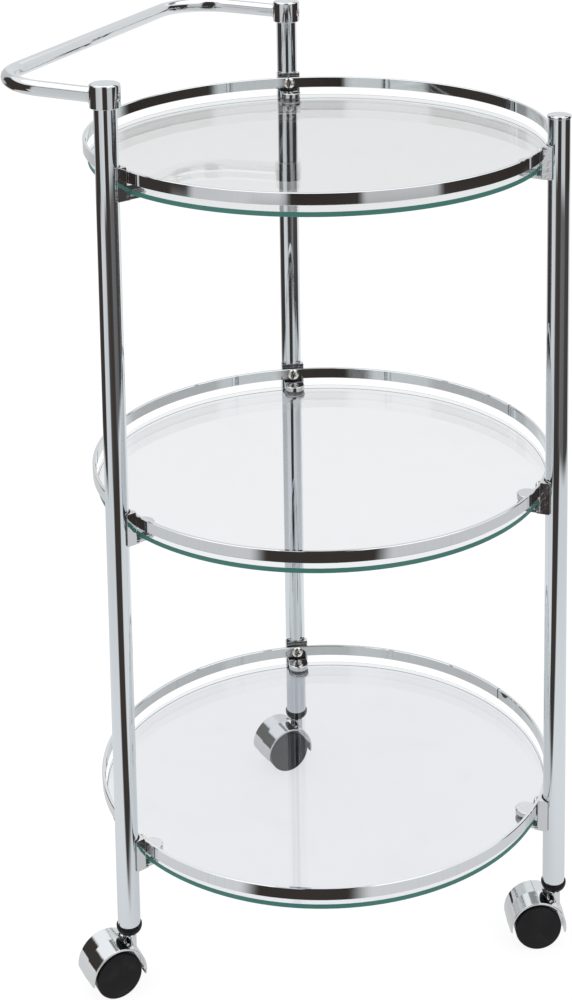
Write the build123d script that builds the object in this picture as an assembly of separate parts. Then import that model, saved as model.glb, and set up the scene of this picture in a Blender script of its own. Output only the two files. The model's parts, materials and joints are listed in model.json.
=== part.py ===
from build123d import *
import math
import os

# ---------------------------------------------------------------------------
# Round three-tier glass trolley.
# Millimetres, +Z up.  Origin: on the floor, at the middle of the trolley's
# outline seen from above, casters in their rest position.  The casters reach
# out further on one side than the other, so the common centre line of the
# three round shelves stands a little off the origin.  The push handle is on
# the -X side.
# ---------------------------------------------------------------------------

# --- place of the shelves' centre line, from the origin -------------------------
SHELF_AXIS_X = -3.3
SHELF_AXIS_Y = 12.3

# --- overall layout ---------------------------------------------------------
POST_CIRCLE_R = 212.0                 # post axes lie on this radius
POST_ANGLE = {"right": 0.0, "rear": 120.0, "front_left": 240.0}
TIER_PITCH = 289.5                    # shelf to shelf
TOP_RING_Z = 708.0                    # upper edge of the top guard ring
RING_TOP = {
    "top": TOP_RING_Z,
    "middle": TOP_RING_Z - TIER_PITCH,
    "bottom": TOP_RING_Z - 2 * TIER_PITCH,
}

# --- guard rings --------------------------------------------------------------
RING_R = 200.0                        # outside radius
RING_T = 3.0                          # strip thickness
RING_H = 10.0                         # strip height
RING_EDGE = 0.45                      # eased edges

# --- glass --------------------------------------------------------------------
GLASS_R = 196.1
GLASS_T = 4.0
GLASS_DROP = 16.2                     # ring upper edge down to glass upper face
GLASS_BEVEL = 0.45

# --- posts --------------------------------------------------------------------
POST_R = 9.5
POST_WALL = 1.2
POST_FOOT_Z = 54.6
POST_TOP_Z = {"right": 734.6, "rear": 760.0, "front_left": 760.0}
FIT = 0.02                            # radial slip between pieces that stay put
TAP_R = 2.52                          # tapped hole drawn at thread outside radius

# --- shelf brackets (radial coordinate is the distance from the shelf centre) --
BR_IN = RING_R                        # face the ring is screwed against
BR_OUT = 209.2                        # open side of the saddle
BR_HALF_W = 10.5
BR_TOP = 3.7                          # above ring upper edge
BR_BOTTOM = -24.0                     # below ring upper edge
JAW_TIP = 177.8                       # upper jaw reaches this radius
JAW_R = 9.2                           # its half width and rounded end
JAW_TOP = -11.6                       # its upper face, below ring upper edge
TONGUE_R = 9.6                        # rounded end of the lower tongue
TONGUE_TIP = 177.8
TONGUE_T = 2.6
PAD_T = 1.15
PAD_NUB_R = 1.7
PAD_OUT = 195.6                       # pad runs out to this radius

# --- bracket screws -----------------------------------------------------------
SCREW_Z = -5.0                        # below ring upper edge
SCREW_HEAD_R = 5.2
SCREW_HEAD_T = 3.0
SCREW_R = 2.5
SCREW_LEN = 15.0

# --- handle -------------------------------------------------------------------
HANDLE_R = 6.35
HANDLE_WALL = 1.2
HANDLE_Z = 769.0                      # handle axis where it meets the post axes
HANDLE_REACH = 108.0                  # post axes to the axis of the straight grip
HANDLE_BEND = 50.0                    # centre-line radius of the two corners
HANDLE_TILT = 1.7                     # degrees, the grip end stands slightly higher
SOCKET_R = 12.5
SOCKET_Z0 = 760.0
SOCKET_Z1 = 779.6
SOCKET_COLLAR_R = 7.6
HANDLE_INSERT = 9.0                   # how far the handle enters the socket

# --- cap on the short post ------------------------------------------------------
CAP_R = 10.1
CAP_T = 2.9

# --- casters --------------------------------------------------------------------
WHEEL_R = 20.0
TRAIL = 16.0
CASTER_HEADING = {"right": 27.5, "rear": 50.0, "front_left": 50.0}
HOOD_HALF_W = 17.0
HOOD_RIM_R = 24.2                     # outside, at the open ends
HOOD_CROWN_R = 24.8                   # outside, at the parting line half way across
HOOD_IN_R = 22.8
WEB_HALF_W = 6.0
WHEEL_IN = 6.6
WHEEL_OUT = 16.4
AXLE_R = 2.0
RUN = 0.05                            # running clearance on radius
COLLAR_R = 5.75
STEM_R = 4.0
STEM_TOP_Z = 84.0
PLUG_FLANGE_R = 10.7
PLUG_FLANGE_Z0 = 46.8

os.makedirs("parts", exist_ok=True)


def cyl(r, z0, z1, x=0.0, y=0.0):
    return Pos(x, y, (z0 + z1) / 2) * Cylinder(r, z1 - z0)


def block(x0, x1, y0, y1, z0, z1):
    return Pos((x0 + x1) / 2, (y0 + y1) / 2, (z0 + z1) / 2) * Box(x1 - x0, y1 - y0, z1 - z0)


def rod_x(r, x0, x1, y=0.0, z=0.0):
    return Pos((x0 + x1) / 2, y, z) * Rot(0, 90, 0) * Cylinder(r, x1 - x0)


def rod_y(r, y0, y1, x=0.0, z=0.0):
    return Pos(x, (y0 + y1) / 2, z) * Rot(90, 0, 0) * Cylinder(r, y1 - y0)


def turned(points):
    """Solid of revolution about Z from (radius, z) corners."""
    face = make_face(Polyline([(p[0], 0, p[1]) for p in points], close=True).edges())
    return revolve(face, Axis.Z, 360)


def out(shape, node):
    """Pieces are drawn about the shelves' centre line and set in place here."""
    solids = list((Pos(SHELF_AXIS_X, SHELF_AXIS_Y, 0) * shape).solids())
    whole = solids[0] if len(solids) == 1 else Compound(children=solids)
    export_step(whole, "parts/%s.step" % node)
    return whole


def at_post(name):
    """Frame of a post: +X points away from the shelf centre."""
    return Rot(0, 0, POST_ANGLE[name])


def post_xy(name):
    a = math.radians(POST_ANGLE[name])
    return POST_CIRCLE_R * math.cos(a), POST_CIRCLE_R * math.sin(a)


# ---------------------------------------------------------------------------
# Guard rings: flat strip standing on edge, eased edges, three screw holes
# ---------------------------------------------------------------------------
def guard_ring(top_z):
    e = RING_EDGE
    ro, ri = RING_R, RING_R - RING_T
    z1, z0 = top_z, top_z - RING_H
    ring = turned([
        (ri + e, z0), (ro - e, z0), (ro, z0 + e), (ro, z1 - e),
        (ro - e, z1), (ri + e, z1), (ri, z1 - e), (ri, z0 + e),
    ])
    for name in POST_ANGLE:
        ring -= at_post(name) * rod_x(SCREW_R + 0.2, RING_R - 10, RING_R + 8, 0, top_z + SCREW_Z)
    return ring


def glass_disc(top_z):
    g1 = top_z - GLASS_DROP
    g0 = g1 - GLASS_T
    b = GLASS_BEVEL
    return turned([(0, g0), (GLASS_R - b, g0), (GLASS_R, g0 + b), (GLASS_R, g1 - b), (GLASS_R - b, g1), (0, g1)])


# ---------------------------------------------------------------------------
# Posts
# ---------------------------------------------------------------------------
def post(name):
    z0, z1 = POST_FOOT_Z, POST_TOP_Z[name]
    tube = cyl(POST_R, z0, z1, POST_CIRCLE_R) - cyl(POST_R - POST_WALL, z0 - 1, z1 + 1, POST_CIRCLE_R)
    for top_z in RING_TOP.values():
        tube -= rod_x(TAP_R, POST_CIRCLE_R - POST_R - 2, POST_CIRCLE_R - 4, 0, top_z + SCREW_Z)
    return at_post(name) * tube


# ---------------------------------------------------------------------------
# Shelf bracket: saddle against the post, face for the ring, notch that takes
# the edge of the glass between an upper jaw and a rounded lower tongue
# ---------------------------------------------------------------------------
def bracket(name, top_z):
    z0, z1 = top_z + BR_BOTTOM, top_z + BR_TOP
    g1 = top_z - GLASS_DROP
    g0 = g1 - GLASS_T
    w = BR_HALF_W
    # side profile of the main block, drawn in the radial plane and extruded across
    prof = [
        (BR_IN, g1 - 6.2), (BR_IN, top_z + 1.3), (BR_IN + 0.7, top_z + 1.6), (BR_IN + 0.7, top_z + 2.1),
        (BR_IN + 0.35, top_z + 2.4), (BR_IN + 1.1, z1), (BR_OUT - 0.7, z1), (BR_OUT, z1 - 0.9),
        (BR_OUT, z0 + 0.9), (BR_OUT - 0.7, z0), (BR_IN - 2.0, z0), (BR_IN - 2.6, z0 + 0.5),
        (BR_IN - 2.6, g1 - 6.2),
    ]
    face = make_face(Polyline([(p[0], -w, p[1]) for p in prof], close=True).edges())
    body = extrude(face, amount=2 * w, dir=(0, 1, 0))
    # upper jaw: a flat tongue with a semicircular end lying on the rim of the glass
    jaw_z0, jaw_z1 = g1 + 0.02, top_z + JAW_TOP
    jaw = block(JAW_TIP + JAW_R, BR_IN + 1, -JAW_R, JAW_R, jaw_z0, jaw_z1)
    jaw += cyl(JAW_R, jaw_z0, jaw_z1, JAW_TIP + JAW_R)
    jaw = chamfer([e for e in jaw.edges() if abs(e.center().Z - jaw_z1) < 0.01 and e.center().X < BR_IN + 0.5], 0.5)
    body += jaw
    # the block only comes inboard of the ring face below the notch
    body -= block(BR_IN - 5, BR_IN - 0.001, -w - 1, w + 1, top_z - RING_H - 0.25, z1 + 1)
    # lower tongue with a semicircular end, carrying the rubber pad
    t1 = g0 - PAD_T
    tongue = block(TONGUE_TIP + TONGUE_R, BR_IN + 1, -TONGUE_R, TONGUE_R, t1 - TONGUE_T, t1)
    tongue += cyl(TONGUE_R, t1 - TONGUE_T, t1, TONGUE_TIP + TONGUE_R)
    tongue -= turned([(TONGUE_R - 1.0, -0.01), (TONGUE_R + 1, -0.01), (TONGUE_R + 1, 1.1)]).moved(
        Location((TONGUE_TIP + TONGUE_R, 0, t1 - TONGUE_T))) & block(0, TONGUE_TIP + TONGUE_R, -30, 30, t1 - 9, t1 + 9)
    body += tongue
    body -= cyl(PAD_NUB_R + FIT, t1 - TONGUE_T - 1, t1 + 0.5, TONGUE_TIP + TONGUE_R)
    # slot for the edge of the glass
    slot_in = GLASS_R + 0.5
    body -= (cyl(slot_in, t1, g1 + 0.02, 0) & block(150, 230, -w - 1, w + 1, t1 - 1, g1 + 5))
    # saddle round the post, relieved at the mouth
    body -= cyl(POST_R + FIT, z0 - 1, z1 + 1, POST_CIRCLE_R)
    body -= Pos(POST_CIRCLE_R, 0, z1) * turned([(0, 0.01), (POST_R + 1.3, 0.01), (POST_R, -1.8), (0, -1.8)])
    # screw hole
    body -= rod_x(SCREW_R + 0.2, BR_IN - 3, BR_OUT + 3, 0, top_z + SCREW_Z)
    # soften the upright corners beside the ring
    inner = [e for e in body.edges().filter_by(Axis.Z) if abs(e.center().X - BR_IN) < 0.05
             and abs(abs(e.center().Y) - w) < 0.05 and e.length > 6]
    if inner:
        body = fillet(inner, 0.7)
    return at_post(name) * body


def glass_pad(name, top_z):
    g0 = top_z - GLASS_DROP - GLASS_T
    c = TONGUE_TIP + TONGUE_R
    r = TONGUE_R - 0.9
    pad = cyl(r, g0 - PAD_T, g0, c) + block(c, PAD_OUT, -r, r, g0 - PAD_T, g0)
    pad += cyl(PAD_NUB_R, g0 - PAD_T - TONGUE_T + 0.2, g0 - PAD_T + 0.2, c)
    return at_post(name) * pad


# ---------------------------------------------------------------------------
# Cross-recess screw, axis radial, head toward the shelf centre
# ---------------------------------------------------------------------------
def cross_screw(head_r, head_t, shank_r, length, arm, arm_w, depth):
    """Drawn along +Z: underside of the head at z = 0, shank toward +Z."""
    dome = turned([
        (0, 0), (head_r - 0.25, 0), (head_r, -0.25), (head_r, -head_t * 0.34), (head_r * 0.93, -head_t * 0.58),
        (head_r * 0.78, -head_t * 0.79), (head_r * 0.55, -head_t * 0.93), (head_r * 0.28, -head_t), (0, -head_t)])
    shank = turned([(0, -0.5), (shank_r, -0.5), (shank_r, length - 0.7), (shank_r - 0.6, length), (0, length)])
    s = dome + shank
    s -= block(-arm, arm, -arm_w, arm_w, -head_t - 1, -head_t + depth)
    s -= block(-arm_w, arm_w, -arm, arm, -head_t - 1, -head_t + depth)
    return s


def bracket_screw(name, top_z):
    s = cross_screw(SCREW_HEAD_R, SCREW_HEAD_T, SCREW_R, SCREW_LEN, 2.7, 0.55, 1.7)
    s = Rot(0, 90, 0) * (Rot(0, 0, 20) * s)
    # the flat underside of the head bears on the curved strip at its two sides
    return at_post(name) * (Pos(RING_R - RING_T - 0.08, 0, top_z + SCREW_Z) * s)


# ---------------------------------------------------------------------------
# Handle, sockets, their screws, cap on the short post
# ---------------------------------------------------------------------------
# The handle is one flat U.  It is drawn level, post axes at x = 0, grip toward
# -X, and then tipped up a little about the line through the two sockets.
HANDLE_PLACE = Pos(post_xy("rear")[0], 0, HANDLE_Z) * Rot(0, HANDLE_TILT, 0)
HANDLE_END = -SOCKET_R + HANDLE_INSERT


def handle_tube():
    y1 = post_xy("rear")[1]
    b = HANDLE_BEND
    xc = -HANDLE_REACH + b

    def run(r):
        piece = rod_x(r, xc, HANDLE_END, -y1) + rod_x(r, xc, HANDLE_END, y1)
        piece += rod_y(r, -y1 + b, y1 - b, -HANDLE_REACH)
        corner_a = Pos(xc, -y1 + b, 0) * (Torus(b, r) & block(-b - 20, 0, -b - 20, 0, -20, 20))
        corner_b = Pos(xc, y1 - b, 0) * (Torus(b, r) & block(-b - 20, 0, 0, b + 20, -20, 20))
        return piece + corner_a + corner_b

    return HANDLE_PLACE * (run(HANDLE_R) - run(HANDLE_R - HANDLE_WALL))


def handle_socket(name):
    x, y = post_xy(name)
    r = SOCKET_R
    body = Pos(x, y, 0) * turned([
        (0, SOCKET_Z0), (r - 0.5, SOCKET_Z0), (r, SOCKET_Z0 + 0.5), (r, SOCKET_Z1 - 1.5), (r - 0.5, SOCKET_Z1 - 0.65),
        (r - 1.6, SOCKET_Z1 - 0.15), (r - 4.0, SOCKET_Z1), (0, SOCKET_Z1)])
    # spigot that fills the end of the post tube
    body += cyl(POST_R - POST_WALL - FIT, SOCKET_Z0 - 22, SOCKET_Z0 + 1, x, y)
    # spot face and low collar where the handle goes in
    face = -r + 0.5
    body -= HANDLE_PLACE * rod_x(SOCKET_COLLAR_R, face - 6, face, y)
    body += HANDLE_PLACE * rod_x(SOCKET_COLLAR_R, face, -5, y)
    body -= HANDLE_PLACE * rod_x(HANDLE_R + FIT, -r - 3, HANDLE_END + 0.05, y)
    # clearance for the retaining screw and a spot face for its head
    body -= HANDLE_PLACE * rod_x(2.1, -5, r + 2, y)
    body -= HANDLE_PLACE * rod_x(3.6, r - 1.2, r + 2, y)
    return body


def handle_insert(name):
    """Threaded slug closing the end of the handle tube."""
    y = post_xy(name)[1]
    slug = rod_x(HANDLE_R - HANDLE_WALL - FIT, HANDLE_END - 12, HANDLE_END, y)
    slug -= rod_x(2.02, HANDLE_END - 13, HANDLE_END + 1, y)
    return HANDLE_PLACE * slug


def handle_screw(name):
    y = post_xy(name)[1]
    s = cross_screw(3.3, 1.1, 2.0, 22.4, 1.7, 0.4, 0.7)
    s = Rot(0, -90, 0) * (Rot(0, 0, 35) * s)
    return HANDLE_PLACE * (Pos(SOCKET_R - 1.2, y, 0) * s)


def post_cap():
    x, y = post_xy("right")
    z = POST_TOP_Z["right"]
    cap = turned([
        (0, z), (CAP_R - 0.3, z), (CAP_R, z + 0.3), (CAP_R, z + CAP_T * 0.5), (CAP_R - 0.5, z + CAP_T * 0.78),
        (CAP_R - 1.6, z + CAP_T * 0.92), (CAP_R - 4.0, z + CAP_T), (0, z + CAP_T)])
    r = POST_R - POST_WALL - FIT
    cap += turned([(r - 2.0, z - 14), (r - 0.5, z - 14), (r, z - 13), (r, z + 0.5), (r - 2.0, z + 0.5)])
    return Pos(x, y, 0) * cap


# ---------------------------------------------------------------------------
# Casters.  Drawn with the stem on the local Z axis, +X leading, axle along Y.
# ---------------------------------------------------------------------------
def place_caster(name):
    x, y = post_xy(name)
    return Pos(x, y, 0) * Rot(0, 0, CASTER_HEADING[name])


def tube_plug():
    """Plastic plug in the foot of the post with a flange under the tube end."""
    rin = POST_R - POST_WALL - FIT
    rf = PLUG_FLANGE_R
    z0 = PLUG_FLANGE_Z0
    bore = STEM_R + FIT
    plug = turned([
        (bore, z0), (rf - 4.6, z0), (rf - 2.9, z0 + 0.7), (rf - 1.5, z0 + 1.9), (rf - 0.6, z0 + 3.4), (rf - 0.1, z0 + 5.0),
        (rf, z0 + 6.0), (rf, POST_FOOT_Z - 0.4),
        (rf - 0.4, POST_FOOT_Z), (rin, POST_FOOT_Z), (rin, 86.0), (rin - 0.8, 87.5), (bore, 87.5)])
    for k in range(6):
        # lengthwise relief grooves between the gripping ribs
        plug -= Rot(0, 0, 60 * k + 15) * block(rin - 1.1, rin + 1, -1.6, 1.6, POST_FOOT_Z + 3, 89)
    # annular groove for the stem's grip ring
    plug -= turned([(bore - 0.5, 72.0), (5.35, 72.0), (5.35, 76.0), (bore - 0.5, 76.0)])
    return plug


def stem():
    s = turned([
        (0, 16.0), (STEM_R - 0.6, 16.0), (STEM_R, 16.6), (STEM_R, 72.6), (3.1, 72.6), (3.1, 75.4),
        (STEM_R, 75.4), (STEM_R, STEM_TOP_Z - 1.4), (STEM_R - 1.4, STEM_TOP_Z), (0, STEM_TOP_Z)])
    return s


def grip_ring():
    ring = turned([(3.2, 72.8), (4.4, 72.8), (5.2, 73.6), (5.2, 74.6), (4.4, 75.2), (3.2, 75.2)])
    return ring - block(0, 8, -1.2, 1.2, 70, 78)


def caster_hood():
    ax = -TRAIL
    az = WHEEL_R
    # cover turned about the axle, with a little draft both ways from the parting line
    w = HOOD_HALF_W
    ledge = Polyline([
        (0, 0, -w), (HOOD_RIM_R, 0, -w), (HOOD_CROWN_R, 0, 0), (HOOD_RIM_R, 0, w), (0, 0, w)], close=True).edges()
    barrel = revolve(make_face(ledge), Axis.Z, 360)
    barrel = Rot(90, 0, 0) * barrel
    rims = [e for e in barrel.edges() if abs(abs(e.center().Y) - HOOD_HALF_W) < 0.01 and e.length > 50]
    barrel = fillet(rims, 0.6)
    # open below, between the two tips of the rim
    lead, trail = math.radians(-11.5), math.radians(184.5)
    far = 60.0
    cut = extrude(make_face(Polyline([
        (0, -30, 0), (far * math.cos(lead), -30, far * math.sin(lead)), (far, -30, -far),
        (-far, -30, -far), (far * math.cos(trail), -30, far * math.sin(trail))], close=True).edges()),
        amount=60, dir=(0, 1, 0))
    shell = barrel - rod_y(HOOD_IN_R, -HOOD_HALF_W - 1, HOOD_HALF_W + 1) - cut
    # middle web between the wheels, with the axle boss
    web = rod_y(HOOD_IN_R + 0.6, -WEB_HALF_W, WEB_HALF_W)
    web -= extrude(make_face(Polyline([
        (-6.0, -30, -8.0), (11.0, -30, -8.0), (20.0, -30, -6.0), (far, -30, -6.0), (far, -30, -far),
        (-far, -30, -far), (-far, -30, 1.0), (-12.0, -30, 1.0)], close=True).edges()), amount=60, dir=(0, 1, 0))
    # lightening window behind the axle
    web -= rod_y(4.0, -20, 20, -12.5, 9.0)
    body = shell + web
    body = Pos(ax, 0, az) * body
    # pocket in the top that leaves the stem collar standing free
    pocket = (block(-9.5, 30, -8.0, 8.0, 33.0, 60) + cyl(9.5, 33.0, 60))
    pocket &= (cyl(10.5, 30, 61) + block(0, 30, -8.0, 8.0, 30, 61))
    body -= pocket
    # collar round the stem, up to just under the plug
    body += turned([
        (0, 13.0), (COLLAR_R, 13.0), (COLLAR_R, PLUG_FLANGE_Z0 - 1.6), (COLLAR_R - 0.6, PLUG_FLANGE_Z0 - 0.8),
        (0, PLUG_FLANGE_Z0 - 0.8)])
    body -= cyl(STEM_R + RUN, 15.9, 60)
    body -= rod_y(AXLE_R + FIT, -20, 20, ax, az)
    return body


def axle_pin():
    p = turned([
        (0, -13.0), (AXLE_R - 0.4, -13.0), (AXLE_R, -12.6), (AXLE_R, 12.6), (AXLE_R - 0.4, 13.0), (0, 13.0)])
    return Pos(-TRAIL, 0, WHEEL_R) * (Rot(90, 0, 0) * p)


def wheel(side):
    """side = -1 or +1: closed, slightly domed outer face, hollow ribbed back."""
    w0, w1, r = WHEEL_IN, WHEEL_OUT, WHEEL_R
    rim = turned([
        (0, w0), (5.0, w0), (5.0, w0 + 6.6), (16.2, w0 + 6.6), (16.2, w0), (r - 0.9, w0), (r, w0 + 0.9), (r, w1 - 1.5),
        (r - 0.35, w1 - 0.65), (r - 1.1, w1 - 0.1), (r - 2.2, w1), (r - 2.6, w1 - 0.12), (r - 3.0, w1),
        (r * 0.62, w1 + 0.42), (r * 0.3, w1 + 0.62), (0, w1 + 0.68)])
    for k in range(6):
        rim += Rot(0, 0, 60 * k) * block(4.5, 17.0, -0.8, 0.8, w0 + 2.0, w0 + 7.0)
    rim -= cyl(AXLE_R + RUN, w0 - 1, 13.0 + 0.6)
    rim = Rot(-90 * side, 0, 0) * rim
    return Pos(-TRAIL, 0, WHEEL_R) * rim


# ---------------------------------------------------------------------------
# Write every piece
# ---------------------------------------------------------------------------
for name in POST_ANGLE:
    out(post(name), "post_" + name)

for tier, z in RING_TOP.items():
    out(guard_ring(z), tier + "_guard_ring")
    out(glass_disc(z), tier + "_glass_shelf")
    pads = []
    screws = []
    for name in POST_ANGLE:
        out(bracket(name, z), "bracket_%s_%s" % (tier, name))
        pads += list(glass_pad(name, z).solids())
        screws += list(bracket_screw(name, z).solids())
    out(Compound(children=pads), tier + "_glass_pads")
    out(Compound(children=screws), tier + "_bracket_screws")

out(handle_tube(), "handle_tube")
for name in ("front_left", "rear"):
    out(handle_socket(name), "handle_socket_" + name)
out(Compound(children=[s for n in ("front_left", "rear") for s in handle_insert(n).solids()]), "handle_end_inserts")
out(Compound(children=[s for n in ("front_left", "rear") for s in handle_screw(n).solids()]), "handle_screws")
out(post_cap(), "post_cap_right")

grips = []
for name in POST_ANGLE:
    P = place_caster(name)
    x, y = post_xy(name)
    S = Pos(x, y, 0)
    out(S * tube_plug(), "foot_plug_" + name)
    out(S * stem(), "caster_stem_" + name)
    grips += list((S * grip_ring()).solids())
    out(P * caster_hood(), "caster_hood_" + name)
    out(P * axle_pin(), "caster_axle_" + name)
    out(P * wheel(-1), "caster_wheel_a_" + name)
    out(P * wheel(1), "caster_wheel_b_" + name)
out(Compound(children=grips), "stem_grip_rings")
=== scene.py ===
import json
import math

import bpy
from mathutils import Matrix, Vector

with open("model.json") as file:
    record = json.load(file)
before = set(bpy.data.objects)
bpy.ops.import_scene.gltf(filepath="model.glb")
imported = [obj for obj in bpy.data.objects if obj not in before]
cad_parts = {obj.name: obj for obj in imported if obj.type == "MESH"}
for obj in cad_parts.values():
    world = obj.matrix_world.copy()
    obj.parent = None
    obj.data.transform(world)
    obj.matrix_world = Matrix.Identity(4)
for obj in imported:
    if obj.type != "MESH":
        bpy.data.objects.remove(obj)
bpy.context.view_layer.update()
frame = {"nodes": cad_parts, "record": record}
nodes = frame["nodes"]
scene = bpy.context.scene

# the shelves' common centre line, from the top ring's mount
AX, AY = [m for m in frame["record"]["mounts"] if m["name"] == "top_ring_edge"][0]["pos_m"][:2]


# ---------------------------------------------------------------------------
# Small node helpers
# ---------------------------------------------------------------------------
class Tree:
    def __init__(self, tree):
        self.t = tree
        self.t.nodes.clear()

    def n(self, kind, **kw):
        node = self.t.nodes.new(kind)
        for k, v in kw.items():
            setattr(node, k, v)
        return node

    def put(self, value, socket):
        if isinstance(value, bpy.types.NodeSocket):
            self.t.links.new(value, socket)
        elif isinstance(value, bpy.types.Node):
            self.t.links.new(value.outputs[0], socket)
        elif value is not None:
            if hasattr(socket, "default_value"):
                if isinstance(value, (tuple, list)) and len(value) == 3 and socket.type == "RGBA":
                    value = (*value, 1.0)
                socket.default_value = value

    def math(self, op, a, b=None, c=None, clamp=False):
        m = self.n("ShaderNodeMath", operation=op, use_clamp=clamp)
        for i, v in enumerate((a, b, c)):
            if v is not None:
                self.put(v, m.inputs[i])
        return m.outputs[0]

    def smooth(self, x, lo, hi, out0=0.0, out1=1.0):
        m = self.n("ShaderNodeMapRange", interpolation_type="SMOOTHSTEP")
        self.put(x, m.inputs["Value"])
        m.inputs["From Min"].default_value = lo
        m.inputs["From Max"].default_value = hi
        m.inputs["To Min"].default_value = out0
        m.inputs["To Max"].default_value = out1
        return m.outputs[0]

    def mixf(self, f, a, b):
        m = self.n("ShaderNodeMix", data_type="FLOAT")
        self.put(f, m.inputs[0])
        self.put(a, m.inputs[2])
        self.put(b, m.inputs[3])
        return m.outputs[0]

    def mixc(self, f, a, b, blend="MIX"):
        m = self.n("ShaderNodeMix", data_type="RGBA", blend_type=blend)
        self.put(f, m.inputs[0])
        self.put(a, m.inputs[6])
        self.put(b, m.inputs[7])
        return m.outputs[2]

    def noise(self, vec, scale, detail=3.0, rough=0.55, dist=0.0):
        m = self.n("ShaderNodeTexNoise")
        self.put(vec, m.inputs["Vector"])
        m.inputs["Scale"].default_value = scale
        m.inputs["Detail"].default_value = detail
        m.inputs["Roughness"].default_value = rough
        m.inputs["Distortion"].default_value = dist
        return m.outputs["Fac"]

    def scaled(self, vec, s):
        m = self.n("ShaderNodeMapping")
        self.put(vec, m.inputs["Vector"])
        m.inputs["Scale"].default_value = s
        return m.outputs[0]

    def ramp(self, x, stops, interp="LINEAR"):
        m = self.n("ShaderNodeValToRGB")
        cr = m.color_ramp
        cr.interpolation = interp
        while len(cr.elements) > 1:
            cr.elements.remove(cr.elements[-1])
        cr.elements[0].position = stops[0][0]
        first = stops[0][1]
        cr.elements[0].color = (first, first, first, 1) if isinstance(first, float) else (*first, 1)
        for p, v in stops[1:]:
            e = cr.elements.new(p)
            e.color = (v, v, v, 1) if isinstance(v, float) else (*v, 1)
        self.put(x, m.inputs[0])
        return m.outputs[0]

    def about_axis(self, vec):
        """Moves the origin of a vector to the shelves' centre line."""
        m = self.n("ShaderNodeVectorMath", operation="SUBTRACT")
        self.put(vec, m.inputs[0])
        m.inputs[1].default_value = (AX, AY, 0.0)
        return m.outputs[0]

    def split(self, vec):
        m = self.n("ShaderNodeSeparateXYZ")
        self.put(vec, m.inputs[0])
        return m.outputs[0], m.outputs[1], m.outputs[2]

    def occlusion(self, distance):
        m = self.n("ShaderNodeAmbientOcclusion", samples=6)
        m.inputs["Distance"].default_value = distance
        return m.outputs["AO"]

    def bump(self, height, strength, distance, normal=None):
        m = self.n("ShaderNodeBump")
        m.inputs["Strength"].default_value = strength
        m.inputs["Distance"].default_value = distance
        self.put(height, m.inputs["Height"])
        if normal is not None:
            self.put(normal, m.inputs["Normal"])
        return m.outputs[0]


def new_material(name):
    m = bpy.data.materials.new(name)
    m.use_nodes = True
    return m, Tree(m.node_tree)


# ---------------------------------------------------------------------------
# Chrome: polishing streaks along one axis, faint waviness, smudges, and a
# slightly softer reflection along machined edges
# ---------------------------------------------------------------------------
def chrome(name, base=(0.80, 0.815, 0.83), rough=0.035, streak=(300, 300, 8), streak_amount=0.05,
           wave=0.0, smudge=0.5, seam=None, bevel=0.0, grain=0.0, recess_shade=0.0, reflection_streaks=0.0, cast=0.0):
    m, t = new_material(name)
    co = t.n("ShaderNodeTexCoord").outputs["Object"]
    fine = t.noise(t.scaled(co, streak), 1.0, 2.0)
    spots = t.noise(co, 38.0, 4.0, 0.6, 0.4)
    haze = t.smooth(spots, 0.52, 0.72)
    r = t.math("ADD", rough, t.math("MULTIPLY", haze, 0.05 * smudge))
    r = t.math("ADD", r, t.math("MULTIPLY", fine, 0.02))
    dust = t.smooth(t.noise(co, 900.0, 2.0, 0.7), 0.66, 0.74)
    col = t.mixc(t.math("MULTIPLY", haze, 0.10 * smudge), base, tuple(c * 0.86 for c in base))
    col = t.mixc(t.math("MULTIPLY", dust, 0.16 * smudge), col, (0.62, 0.62, 0.60))
    height = t.math("MULTIPLY", fine, streak_amount)
    if wave:
        height = t.math("ADD", height, t.math("MULTIPLY", t.noise(co, 22.0, 1.0), wave))
    if grain:
        height = t.math("ADD", height, t.math("MULTIPLY", t.noise(co, 520.0, 3.0, 0.6), grain))
    if seam is not None:
        # butt weld of the ring, dressed flush: one narrow dull line across the strip
        sx, sy, sz = t.split(t.about_axis(co))
        ang = t.math("ARCTAN2", sy, sx)
        d = t.math("ABSOLUTE", t.math("SUBTRACT", ang, math.radians(seam)))
        wob = t.math("MULTIPLY", t.math("SUBTRACT", t.noise(co, 260.0, 2.0), 0.5), 0.004)
        line = t.smooth(t.math("ADD", d, wob), 0.0022, 0.0046, 1.0, 0.0)
        halo = t.smooth(t.math("ADD", d, t.math("MULTIPLY", wob, 4.0)), 0.004, 0.035, 0.35, 0.0)
        col = t.mixc(line, col, (0.16, 0.16, 0.165))
        r = t.math("ADD", r, t.math("ADD", t.math("MULTIPLY", line, 0.30), t.math("MULTIPLY", halo, 0.22)))
        height = t.math("SUBTRACT", height, t.math("MULTIPLY", line, 0.6))
    if reflection_streaks:
        # painted reflection: fine dark streaks across the strip stand in for the ring's own dark reflections
        across = t.noise(t.scaled(co, (620, 620, 3)), 1.0, 3.0, 0.7)
        col = t.mixc(t.math("MULTIPLY", t.smooth(across, 0.56, 0.70), reflection_streaks), col, tuple(c * 0.62 for c in base))
    # painted shade: where ambient occlusion finds a recess or a gap between parts, the base colour is darkened down to
    # a tenth
    if recess_shade:
        open_sky = t.smooth(t.occlusion(recess_shade), 0.30, 0.92)
        col = t.mixc(open_sky, tuple(c * 0.10 for c in base), col)
    normal = None
    if bevel:
        b = t.n("ShaderNodeBevel", samples=4)
        b.inputs["Radius"].default_value = bevel
        normal = b.outputs[0]
    if cast:
        # the slight waviness a casting keeps under its plating
        normal = t.bump(t.noise(co, 260.0, 1.0), 1.0, cast, normal)
    nrm = t.bump(height, 0.25, 0.00012, normal)
    bsdf = t.n("ShaderNodeBsdfPrincipled")
    t.put(col, bsdf.inputs["Base Color"])
    bsdf.inputs["Metallic"].default_value = 1.0
    t.put(r, bsdf.inputs["Roughness"])
    t.put(nrm, bsdf.inputs["Normal"])
    out = t.n("ShaderNodeOutputMaterial")
    t.put(bsdf.outputs[0], out.inputs[0])
    return m
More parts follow.
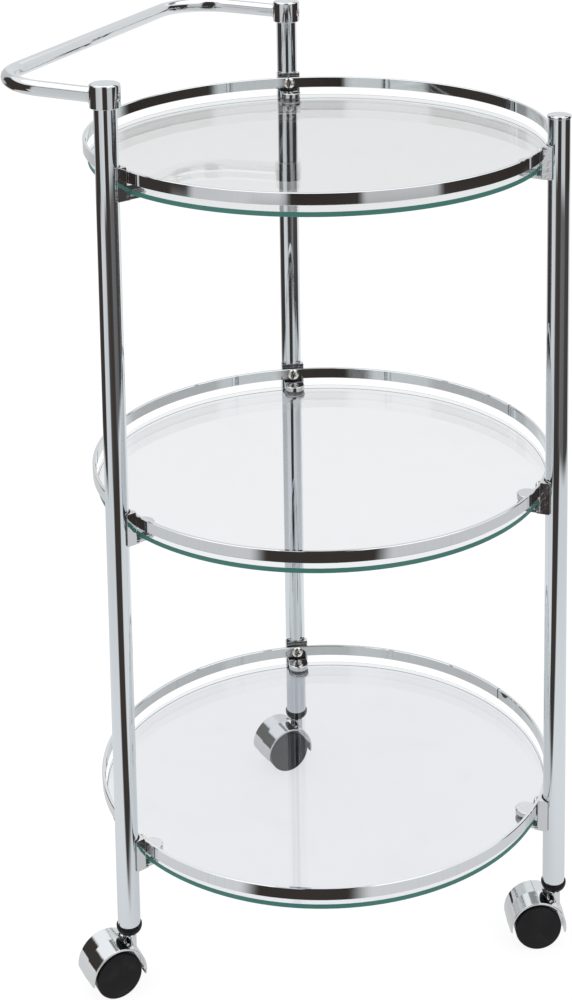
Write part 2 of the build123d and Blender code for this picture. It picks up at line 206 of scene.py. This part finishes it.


# ---------------------------------------------------------------------------
# Float glass: the two faces see through with a real Fresnel reflection, the
# ground edge is dense teal and glows with painted light
# ---------------------------------------------------------------------------
def glass_material(name, veil=(0.90, 0.915, 0.92)):
    m, t = new_material(name)
    co = t.n("ShaderNodeTexCoord").outputs["Object"]
    geo = t.n("ShaderNodeNewGeometry")
    sep = t.n("ShaderNodeSeparateXYZ")
    t.put(geo.outputs["True Normal"], sep.inputs[0])
    nz = t.math("ABSOLUTE", sep.outputs[2])
    face = t.smooth(nz, 0.80, 0.95)

    # both faces reflect as seen from the air: Schlick's curve on the view angle
    dot = t.n("ShaderNodeVectorMath", operation="DOT_PRODUCT")
    t.put(geo.outputs["Incoming"], dot.inputs[0])
    t.put(geo.outputs["True Normal"], dot.inputs[1])
    away = t.math("SUBTRACT", 1.0, t.math("ABSOLUTE", dot.outputs["Value"]), clamp=True)
    fres = t.math("ADD", 0.043, t.math("MULTIPLY", 0.957, t.math("POWER", away, 5.0)))
    smear = t.noise(co, 16.0, 4.0, 0.6, 0.5)
    film = t.smooth(smear, 0.50, 0.78)
    tint = t.mixc(t.math("MULTIPLY", film, 0.35), veil, tuple(c * 0.97 for c in veil))
    lp = t.n("ShaderNodeLightPath")
    tint = t.mixc(lp.outputs["Is Glossy Ray"], tint, (0.97, 0.98, 0.98))
    clear = t.n("ShaderNodeBsdfTransparent")
    t.put(tint, clear.inputs[0])
    mirror = t.n("ShaderNodeBsdfAnisotropic")
    mirror.inputs["Color"].default_value = (0.95, 0.98, 0.97, 1)
    t.put(t.math("ADD", 0.006, t.math("MULTIPLY", film, 0.02)), mirror.inputs["Roughness"])
    wave = t.bump(t.noise(co, 5.0, 1.0), 0.25, 0.00010)
    t.put(wave, mirror.inputs["Normal"])
    pane = t.n("ShaderNodeMixShader")
    t.put(fres, pane.inputs[0])
    t.put(clear.outputs[0], pane.inputs[1])
    t.put(mirror.outputs[0], pane.inputs[2])

    # edge: grinding marks run round the rim
    sp = t.n("ShaderNodeSeparateXYZ")
    t.put(co, sp.inputs[0])
    grind = t.noise(t.scaled(co, (90, 90, 2600)), 1.0, 2.0)
    deep = t.noise(co, 9.0, 3.0)
    teal = t.mixc(deep, (0.034, 0.136, 0.113), (0.066, 0.206, 0.178))
    teal = t.mixc(t.math("MULTIPLY", grind, 0.5), teal, (0.112, 0.295, 0.258))
    # painted light: the edge glows in its teal, standing in for light carried inside the pane to the edge
    em = t.n("ShaderNodeEmission")
    t.put(teal, em.inputs[0])
    em.inputs[1].default_value = 0.62
    gl = t.n("ShaderNodeBsdfPrincipled")
    t.put(teal, gl.inputs["Base Color"])
    gl.inputs["Roughness"].default_value = 0.16
    t.put(t.bump(grind, 0.3, 0.0001), gl.inputs["Normal"])
    front = t.n("ShaderNodeMixShader")
    front.inputs[0].default_value = 0.45
    t.put(em.outputs[0], front.inputs[1])
    t.put(gl.outputs[0], front.inputs[2])
    # the far rim, seen from inside through the upper face, is only a thin line
    # along its bevels
    inner = t.n("ShaderNodeBsdfTransparent")
    wall = t.mixc(grind, (0.925, 0.95, 0.95), (0.965, 0.985, 0.985))
    arris = t.mixc(grind, (0.26, 0.29, 0.29), (0.42, 0.46, 0.46))
    t.put(t.mixc(t.smooth(nz, 0.30, 0.55), wall, arris), inner.inputs[0])
    edge = t.n("ShaderNodeMixShader")
    t.put(geo.outputs["Backfacing"], edge.inputs[0])
    t.put(front.outputs[0], edge.inputs[1])
    t.put(inner.outputs[0], edge.inputs[2])

    # shadow rays pass almost freely
    both = t.n("ShaderNodeMixShader")
    t.put(face, both.inputs[0])
    t.put(edge.outputs[0], both.inputs[1])
    t.put(pane.outputs[0], both.inputs[2])
    shadow = t.n("ShaderNodeBsdfTransparent")
    shadow.inputs[0].default_value = (0.93, 0.96, 0.95, 1)
    last = t.n("ShaderNodeMixShader")
    t.put(lp.outputs["Is Shadow Ray"], last.inputs[0])
    t.put(both.outputs[0], last.inputs[1])
    t.put(shadow.outputs[0], last.inputs[2])
    out = t.n("ShaderNodeOutputMaterial")
    t.put(last.outputs[0], out.inputs[0])
    return m


def plastic(name, base, rough, grain_scale=900.0, grain=0.25, dusty=0.3, coat=0.0, sheen=0.2):
    m, t = new_material(name)
    co = t.n("ShaderNodeTexCoord").outputs["Object"]
    g = t.noise(co, grain_scale, 3.0, 0.6)
    blot = t.noise(co, 60.0, 4.0, 0.6, 0.3)
    col = t.mixc(t.math("MULTIPLY", t.smooth(blot, 0.45, 0.75), dusty), base, tuple(min(1, c * 1.9 + 0.012) for c in base))
    r = t.math("ADD", rough, t.math("MULTIPLY", t.math("SUBTRACT", blot, 0.5), 0.18))
    b = t.n("ShaderNodeBevel", samples=4)
    b.inputs["Radius"].default_value = 0.0004
    bsdf = t.n("ShaderNodeBsdfPrincipled")
    t.put(col, bsdf.inputs["Base Color"])
    t.put(r, bsdf.inputs["Roughness"])
    bsdf.inputs["Specular IOR Level"].default_value = sheen
    bsdf.inputs["Coat Weight"].default_value = coat
    bsdf.inputs["Coat Roughness"].default_value = 0.12
    t.put(t.bump(g, grain, 0.00006, b.outputs[0]), bsdf.inputs["Normal"])
    out = t.n("ShaderNodeOutputMaterial")
    t.put(bsdf.outputs[0], out.inputs[0])
    return m


def clear_pad(name):
    m, t = new_material(name)
    co = t.n("ShaderNodeTexCoord").outputs["Object"]
    g = t.noise(co, 420.0, 3.0)
    bsdf = t.n("ShaderNodeBsdfPrincipled")
    t.put(t.mixc(g, (0.72, 0.75, 0.75), (0.86, 0.88, 0.87)), bsdf.inputs["Base Color"])
    t.put(t.math("ADD", 0.28, t.math("MULTIPLY", g, 0.2)), bsdf.inputs["Roughness"])
    bsdf.inputs["Transmission Weight"].default_value = 0.35
    bsdf.inputs["Subsurface Weight"].default_value = 0.15
    bsdf.inputs["Subsurface Radius"].default_value = (0.002, 0.002, 0.002)
    t.put(t.bump(g, 0.15, 0.00008), bsdf.inputs["Normal"])
    out = t.n("ShaderNodeOutputMaterial")
    t.put(bsdf.outputs[0], out.inputs[0])
    return m


# ---------------------------------------------------------------------------
# Materials by node
# ---------------------------------------------------------------------------
# painted light: the posts' chrome is a lighter, bluer copy of the same plating, so the posts come out brighter
posts_lit_copy = chrome("lit_posts_chrome", base=(0.855, 0.895, 0.93), rough=0.016, streak=(420, 420, 9), streak_amount=0.06, wave=0.0)
mats = {
    "chrome_post": posts_lit_copy,
    "chrome_cap": chrome("cap_chrome", streak=(600, 600, 600), streak_amount=0.02, bevel=0.0003),
    # painted shade: the bracket chrome has a darker base than the other chrome, and is darkened further in its
    # recesses
    "chrome_bracket": chrome("bracket_chrome", cast=0.00007, base=(0.76, 0.77, 0.785), rough=0.03, streak=(160, 160, 160),
                             streak_amount=0.10, wave=0.9, smudge=0.7, bevel=0.0005, grain=0.10, recess_shade=0.0014),
    "clear_pad": clear_pad("soft_pad"),
    # painted shade: the screw head is darkened in its recess
    "steel_screw": chrome("screw_plating", base=(0.90, 0.87, 0.81), rough=0.09, streak=(500, 500, 500),
                          streak_amount=0.3, bevel=0.0003, grain=0.3, recess_shade=0.0018),
    # painted shade: the socket screw is darkened in its recess
    "socket_screw": chrome("socket_screw_plating", base=(0.78, 0.79, 0.80), rough=0.06, streak=(500, 500, 500),
                           streak_amount=0.2, bevel=0.0003, recess_shade=0.0016),
    "chrome_handle": chrome("handle_chrome", streak=(300, 10, 300), streak_amount=0.05, wave=0.25),
    "chrome_socket": chrome("socket_chrome", streak=(500, 500, 20), streak_amount=0.03, bevel=0.0004),
    "brass_insert": chrome("insert_brass", base=(0.72, 0.56, 0.27), rough=0.22, streak=(30, 500, 500),
                           streak_amount=0.5),
    "black_plug": plastic("plug_black", (0.006, 0.006, 0.007), 0.34, dusty=0.15, sheen=0.12),
    "stem_steel": chrome("stem_steel", base=(0.66, 0.67, 0.68), rough=0.16, streak=(40, 40, 900), streak_amount=0.5),
    "spring_steel": chrome("spring_steel", base=(0.42, 0.42, 0.44), rough=0.25, streak=(200, 200, 200),
                           streak_amount=0.5),
    "chrome_hood": chrome("hood_chrome", cast=0.00003, base=(0.83, 0.84, 0.85), rough=0.05, streak=(90, 90, 90), streak_amount=0.12,
                          wave=1.0, smudge=1.0, bevel=0.0004),
    "axle_steel": chrome("axle_steel", base=(0.6, 0.6, 0.6), rough=0.2, streak=(300, 300, 300), streak_amount=0.4),
    "black_wheel": plastic("wheel_black", (0.009, 0.009, 0.010), 0.32, dusty=0.25, coat=0.04, sheen=0.12),
}
seams = {"top_guard_ring": 52.0, "middle_guard_ring": 51.0, "bottom_guard_ring": 55.5}

slot_of = {s["node"]: s["material_slot"] for s in frame["record"]["subparts"]}
# painted light and shade: each shelf's see-through tint is set a little lighter or darker, so the paper seen through
# each shelf differs in tone
shaded_shelf_tints = {"top_glass_shelf": (0.904, 0.901, 0.906), "middle_glass_shelf": (0.929, 0.929, 0.941),
         "bottom_glass_shelf": (0.893, 0.897, 0.916)}
for name, obj in nodes.items():
    slot = slot_of[name]
    if slot == "chrome_ring":
        mat = chrome("ring_chrome_" + name.split("_")[0], rough=0.018, streak=(450, 450, 5), streak_amount=0.10,
                     wave=0.25, seam=seams[name], reflection_streaks=0.20)
    elif slot == "clear_glass":
        mat = glass_material("float_glass_" + name.split("_")[0], veil=shaded_shelf_tints[name])
    else:
        mat = mats[slot]
    obj.data.materials.clear()
    obj.data.materials.append(mat)


# ---------------------------------------------------------------------------
# Studio as the chrome sees it.  White paper lies under and round the trolley,
# a dark gap opens toward the lens, and past the paper's edge softboxes and
# dark gaps alternate round the room.
# ---------------------------------------------------------------------------
def around(t, az, stops):
    return t.ramp(az, [((d + 180.0) / 360.0, v) for d, v in stops])


def azimuth01(t, x, y):
    return t.math("ADD", t.math("MULTIPLY", t.math("ARCTAN2", y, x), 1 / (2 * math.pi)), 0.5)


DARK_ROOM = (0.016, 0.008, 0.004)     # the unlit room is a warm black
NEAR = [(-180, 0.03), (-141, 0.03), (-138, 0.70), (-101, 0.62), (-98, 0.16), (-90, 0.05), (-66, 0.03), (-50, 0.05),
        (-45, 0.14), (-10, 0.12), (-6, 0.05), (42, 0.04), (46, 0.45), (52, 0.75), (58, 0.84), (124, 0.84), (130, 0.70),
        (151, 0.60), (154, 0.07), (180, 0.03)]
FAR = [(-180, 0.03), (-131, 0.03), (-127, 0.62), (-86, 0.70), (-83, 0.50), (-81, 0.02), (-50, 0.03),
       (-47, 0.60), (-13, 0.60), (-9, 0.03), (50, 0.02), (53, 0.30), (58, 0.80), (126, 0.80), (132, 0.62),
       (151, 0.58), (166, 0.52), (171, 0.03), (180, 0.03)]


def floor_reflection(t, x, y):
    az = azimuth01(t, x, y)
    deg = t.math("MULTIPLY", t.math("SUBTRACT", az, 0.5), 360.0)
    r = t.math("SQRT", t.math("ADD", t.math("MULTIPLY", x, x), t.math("MULTIPLY", y, y)))
    # painted shade on the paper: a little darker right under the trolley, and dimmer again farther out
    paper = t.mixf(t.smooth(r, 0.05, 0.45), 0.62, 0.74)
    paper = t.mixf(t.smooth(r, 0.45, 1.05), paper, 0.66)
    # painted light: the paper behind the trolley is lighter
    bright_back = t.math("MULTIPLY", t.smooth(deg, 50.0, 75.0), t.smooth(deg, 122.0, 136.0, 1.0, 0.0))
    paper = t.mixf(t.math("MULTIPLY", bright_back, t.smooth(r, 0.2, 0.6)), paper, 0.88)
    # dark gap toward the lens, widening to the right as it goes out
    left = t.smooth(deg, -101.0, -92.0)
    edge = t.math("ADD", -64.5, t.math("MULTIPLY", r, 22.0))
    rel = t.math("SUBTRACT", deg, edge)
    gap = t.math("MULTIPLY", left, t.smooth(rel, -5.0, 5.0, 1.0, 0.0))
    gap = t.math("MULTIPLY", gap, t.smooth(r, 0.24, 0.35))
    paper = t.mixf(gap, paper, 0.03)
    near, far = around(t, az, NEAR), around(t, az, FAR)
    out = t.mixf(t.smooth(r, 1.15, 1.27), paper, near)
    return t.mixf(t.smooth(r, 2.35, 2.7), out, far)


# ---------------------------------------------------------------------------
# Floor
# ---------------------------------------------------------------------------
def floor():
    me = bpy.data.meshes.new("studio_floor")
    s = 9.0
    me.from_pydata([(-s, -s, 0), (s, -s, 0), (s, s, 0), (-s, s, 0)], [], [(0, 1, 2, 3)])
    ob = bpy.data.objects.new("studio_floor", me)
    scene.collection.objects.link(ob)
    m, t = new_material("floor_paper")
    co = t.n("ShaderNodeTexCoord").outputs["Object"]
    g = t.noise(co, 30.0, 2.0)
    dif = t.n("ShaderNodeBsdfDiffuse")
    t.put(t.mixc(g, (0.93, 0.93, 0.93), (0.96, 0.96, 0.96)), dif.inputs[0])
    em = t.n("ShaderNodeEmission")
    em.inputs[0].default_value = (1, 1, 1, 1)
    em.inputs[1].default_value = 1.04
    mix = t.n("ShaderNodeMixShader")
    mix.inputs[0].default_value = 0.16
    t.put(em.outputs[0], mix.inputs[1])
    t.put(dif.outputs[0], mix.inputs[2])
    pos = t.n("ShaderNodeSeparateXYZ")
    t.put(co, pos.inputs[0])
    seen = t.n("ShaderNodeEmission")
    v = floor_reflection(t, t.math("SUBTRACT", pos.outputs[0], AX), t.math("SUBTRACT", pos.outputs[1], AY))
    t.put(t.mixc(v, DARK_ROOM, (0.985, 1.0, 1.01)), seen.inputs[0])
    seen.inputs[1].default_value = 1.0
    lp = t.n("ShaderNodeLightPath")
    last = t.n("ShaderNodeMixShader")
    t.put(lp.outputs["Is Glossy Ray"], last.inputs[0])
    t.put(mix.outputs[0], last.inputs[1])
    t.put(seen.outputs[0], last.inputs[2])
    out = t.n("ShaderNodeOutputMaterial")
    t.put(last.outputs[0], out.inputs[0])
    me.materials.append(m)
    return ob


floor()

world = bpy.data.worlds.new("studio")
scene.world = world
world.use_nodes = True
t = Tree(world.node_tree)
vec = t.n("ShaderNodeTexCoord").outputs["Generated"]
sep = t.n("ShaderNodeSeparateXYZ")
t.put(vec, sep.inputs[0])
az = azimuth01(t, sep.outputs[0], sep.outputs[1])
el = t.math("MULTIPLY", t.math("ARCSINE", t.math("MINIMUM", t.math("MAXIMUM", sep.outputs[2], -1.0), 1.0)),
            180 / math.pi)
# walls up to a third of the way, then the overhead light, with a dim gap between
# them behind the trolley and on the lens side
WALLS = [stop for stop in FAR if not 140 < stop[0] < 175] + [(152, 0.60), (156, 0.56), (160, 0.03)]
walls = around(t, az, sorted(WALLS))
deg = t.math("MULTIPLY", t.math("SUBTRACT", az, 0.5), 360.0)


def sector(lo0, lo1, hi0, hi1):
    return t.math("MULTIPLY", t.smooth(deg, lo0, lo1), t.smooth(deg, hi0, hi1, 1.0, 0.0))


def band(lo0, lo1, hi0, hi1):
    return t.math("MULTIPLY", t.smooth(el, lo0, lo1), t.smooth(el, hi0, hi1, 1.0, 0.0))


ceiling = t.math("ADD", 0.94, t.math("MULTIPLY", t.smooth(el, 44.0, 52.0), 0.30))
# behind the lens the dark goes on up almost to the zenith
roof = t.mixf(sector(-104.0, -96.0, -44.0, -36.0), t.smooth(el, 28.0, 33.0), t.smooth(el, 66.0, 74.0))
env = t.mixf(roof, walls, ceiling)
gap = t.math("MAXIMUM", t.math("MULTIPLY", sector(50.0, 58.0, 126.0, 131.0), band(36.0, 39.0, 45.0, 50.0)),
             t.math("MULTIPLY", sector(-150.0, -142.0, -104.0, -96.0), band(27.0, 29.0, 34.0, 37.0)))
env = t.mixf(gap, env, 0.25)
glossy = t.n("ShaderNodeBackground")
tinted = t.mixc(env, DARK_ROOM, (0.98, 1.0, 1.01))
t.put(tinted, glossy.inputs[0])
# the overhead light is brighter than the paper
t.put(t.mixf(t.smooth(env, 0.92, 1.0), 1.0, 1.35), glossy.inputs[1])
plain = t.n("ShaderNodeBackground")
plain.inputs[0].default_value = (1, 1, 1, 1)
plain.inputs[1].default_value = 1.03
lp = t.n("ShaderNodeLightPath")
mix = t.n("ShaderNodeMixShader")
t.put(lp.outputs["Is Glossy Ray"], mix.inputs[0])
t.put(plain.outputs[0], mix.inputs[1])
t.put(glossy.outputs[0], mix.inputs[2])
wout = t.n("ShaderNodeOutputWorld")
t.put(mix.outputs[0], wout.inputs[0])


def softbox(name, loc, aim, size, power):
    light = bpy.data.lights.new(name, "AREA")
    light.shape = "RECTANGLE"
    light.size, light.size_y = size
    light.energy = power
    ob = bpy.data.objects.new(name, light)
    ob.location = (loc[0] + AX, loc[1] + AY, loc[2])
    ob.rotation_euler = (Vector(aim) - Vector(loc)).to_track_quat("-Z", "Y").to_euler()
    ob.visible_glossy = False
    scene.collection.objects.link(ob)
    return ob


softbox("key", (-1.6, -1.7, 2.4), (0, 0, 0.35), (1.4, 1.0), 14)
softbox("fill", (2.2, -1.2, 1.8), (0, 0, 0.35), (1.2, 1.2), 8)

scene.view_settings.view_transform = "Standard"
scene.view_settings.look = "None"
scene.view_settings.exposure = 0.0
scene.view_settings.gamma = 1.0

# ---------------------------------------------------------------------------
# Camera: the lens is shifted, so the shift holds only where the camera is put
# here; from any other place the lens is centred
# ---------------------------------------------------------------------------
CAM = (AX + 0.644965, AY - 1.586416, 1.141105)
yaw, pitch, roll = math.radians(21.563), math.radians(9.566), math.radians(-0.599)
fw = Vector((-math.sin(yaw) * math.cos(pitch), math.cos(yaw) * math.cos(pitch), -math.sin(pitch)))
right = Vector((math.cos(yaw), math.sin(yaw), 0.0))
up_v = right.cross(fw)
r2 = math.cos(roll) * right + math.sin(roll) * up_v
u2 = -math.sin(roll) * right + math.cos(roll) * up_v
cam = bpy.data.cameras.new("camera")
cam.sensor_fit = "AUTO"
cam.sensor_width = 36.0
cam.lens = 2063.28 * 36.0 / 1000.0
cam.clip_start = 0.05
cam.clip_end = 60.0
cam_ob = bpy.data.objects.new("camera", cam)
cam_ob.matrix_world = Matrix(((r2.x, u2.x, -fw.x, CAM[0]), (r2.y, u2.y, -fw.y, CAM[1]),
                              (r2.z, u2.z, -fw.z, CAM[2]), (0, 0, 0, 1)))
scene.collection.objects.link(cam_ob)
scene.camera = cam_ob
lens_home = bpy.data.objects.new("lens_home", None)
lens_home.location = CAM
scene.collection.objects.link(lens_home)
for prop, value in (("shift_x", -0.05013), ("shift_y", -0.53908)):
    curve = cam.driver_add(prop)
    curve.driver.type = "SUM"
    var = curve.driver.variables.new()
    var.name = "away"
    var.type = "LOC_DIFF"
    var.targets[0].id = cam_ob
    var.targets[1].id = lens_home
    while curve.modifiers:
        curve.modifiers.remove(curve.modifiers[0])
    for away, shift in ((0.05, value), (0.10, 0.0)):
        key = curve.keyframe_points.insert(away, shift)
        key.interpolation = "LINEAR"
    curve.extrapolation = "CONSTANT"

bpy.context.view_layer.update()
